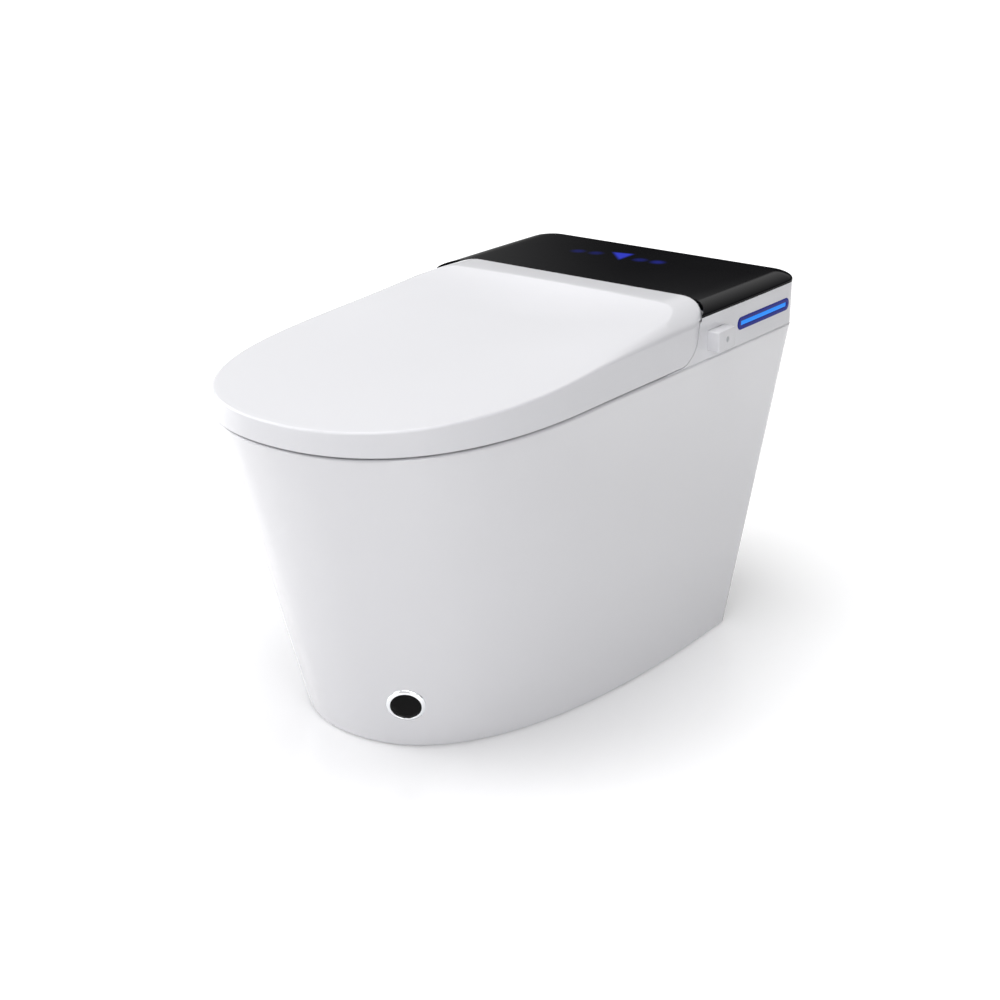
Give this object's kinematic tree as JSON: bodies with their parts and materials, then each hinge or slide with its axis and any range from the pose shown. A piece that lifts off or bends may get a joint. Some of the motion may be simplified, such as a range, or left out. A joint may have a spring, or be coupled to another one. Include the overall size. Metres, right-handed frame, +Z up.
{
  "type": "smart toilet with heated seat",
  "caption": "Glossy white skirted smart toilet with closed lid, heated seat, black display cover, side light bar and foot sensor.",
  "frame": {"origin": "centre of the drain outlet at floor level", "axes": "+Z up, -Y towards the front of the bowl, +X towards the side with the button"},
  "size_m": [0.4062, 0.7417, 0.431],
  "materials": {
    "ceramic": "gloss white glaze",
    "white_plastic": "gloss white",
    "seat_plastic": "satin white",
    "black_gloss": "piano black",
    "inner_plastic": "moulded grey",
    "dark_plastic": "moulded black",
    "rubber_dark": "matt",
    "rubber_white": "soft white",
    "steel": "brushed",
    "chrome": "polished",
    "brass": "machined",
    "blue_light": "lit diffuser",
    "blue_frame": "tinted frame",
    "heater_foil": "foil",
    "board_green": "solder mask",
    "indicator_grey": "translucent grey"
  },
  "bodies": {
    "toilet": {"ceramic_pedestal": "ceramic", "outlet_gasket": "rubber_dark", "hinge_bracket_right": "white_plastic", "hinge_bracket_left": "white_plastic", "hinge_pin_right": "steel", "hinge_pin_left": "steel", "seat_damper": "dark_plastic", "lid_damper": "dark_plastic", "chassis_plate": "white_plastic", "deck_gasket": "rubber_dark", "deck_screws": "steel", "deck_screw_nuts": "steel", "rear_housing": "white_plastic", "top_cover": "black_gloss", "nozzle_guide": "inner_plastic", "wand_motor_right": "dark_plastic", "wand_motor_left": "dark_plastic", "dryer_duct": "inner_plastic", "dryer_blower": "dark_plastic", "flush_tank": "inner_plastic", "flush_pump": "dark_plastic", "flush_pipe": "rubber_dark", "inlet_valve": "brass", "power_inlet": "dark_plastic", "cord_gland": "dark_plastic", "water_heater": "inner_plastic", "air_filter": "inner_plastic", "control_board": "board_green", "power_module": "dark_plastic", "display_board": "board_green", "light_frame_right": "blue_frame", "light_frame_left": "blue_frame", "light_guide_right": "blue_light", "light_guide_left": "blue_light", "button_switch": "dark_plastic", "foot_sensor_bezel": "chrome", "foot_sensor_lens": "black_gloss", "foot_sensor_body": "dark_plastic"},
    "seat": {"seat_top": "seat_plastic", "seat_base": "seat_plastic", "seat_heater": "heater_foil", "seat_bumpers": "rubber_white"},
    "lid": {"lid_shell": "white_plastic", "lid_bumpers": "rubber_white"},
    "rear_wand": {"rear_wash_wand": "steel"},
    "front_wand": {"front_wash_wand": "steel"},
    "dryer_flap_body": {"dryer_flap": "white_plastic"},
    "button": {"side_button": "white_plastic", "button_indicator": "indicator_grey"}
  },
  "joints": [
    {"name": "seat_hinge", "type": "hinge", "parent": "toilet", "child": "seat", "pos_m": [0, 0.05, 0.414], "axis": [-1, 0, 0], "range_deg": [0, 95]},
    {"name": "lid_hinge", "type": "hinge", "parent": "seat", "child": "lid", "pos_m": [0, 0.05, 0.414], "axis": [1, 0, 0], "range_deg": [-98, 0]},
    {"name": "rear_wand_slide", "type": "slide", "parent": "toilet", "child": "rear_wand", "axis": [0, -0.9511, -0.309], "range_m": [0, 0.09]},
    {"name": "front_wand_slide", "type": "slide", "parent": "toilet", "child": "front_wand", "axis": [0, -0.9511, -0.309], "range_m": [0, 0.09]},
    {"name": "dryer_flap_hinge", "type": "hinge", "parent": "toilet", "child": "dryer_flap_body", "pos_m": [0, -0.0882, 0.3575], "axis": [-1, 0, 0], "range_deg": [0, 60]},
    {"name": "side_button_press", "type": "slide", "parent": "toilet", "child": "button", "axis": [-1, 0, 0], "range_m": [0, 0.0025], "stiffness_N_per_m": 600, "springref_m": -0.001}
  ]
}
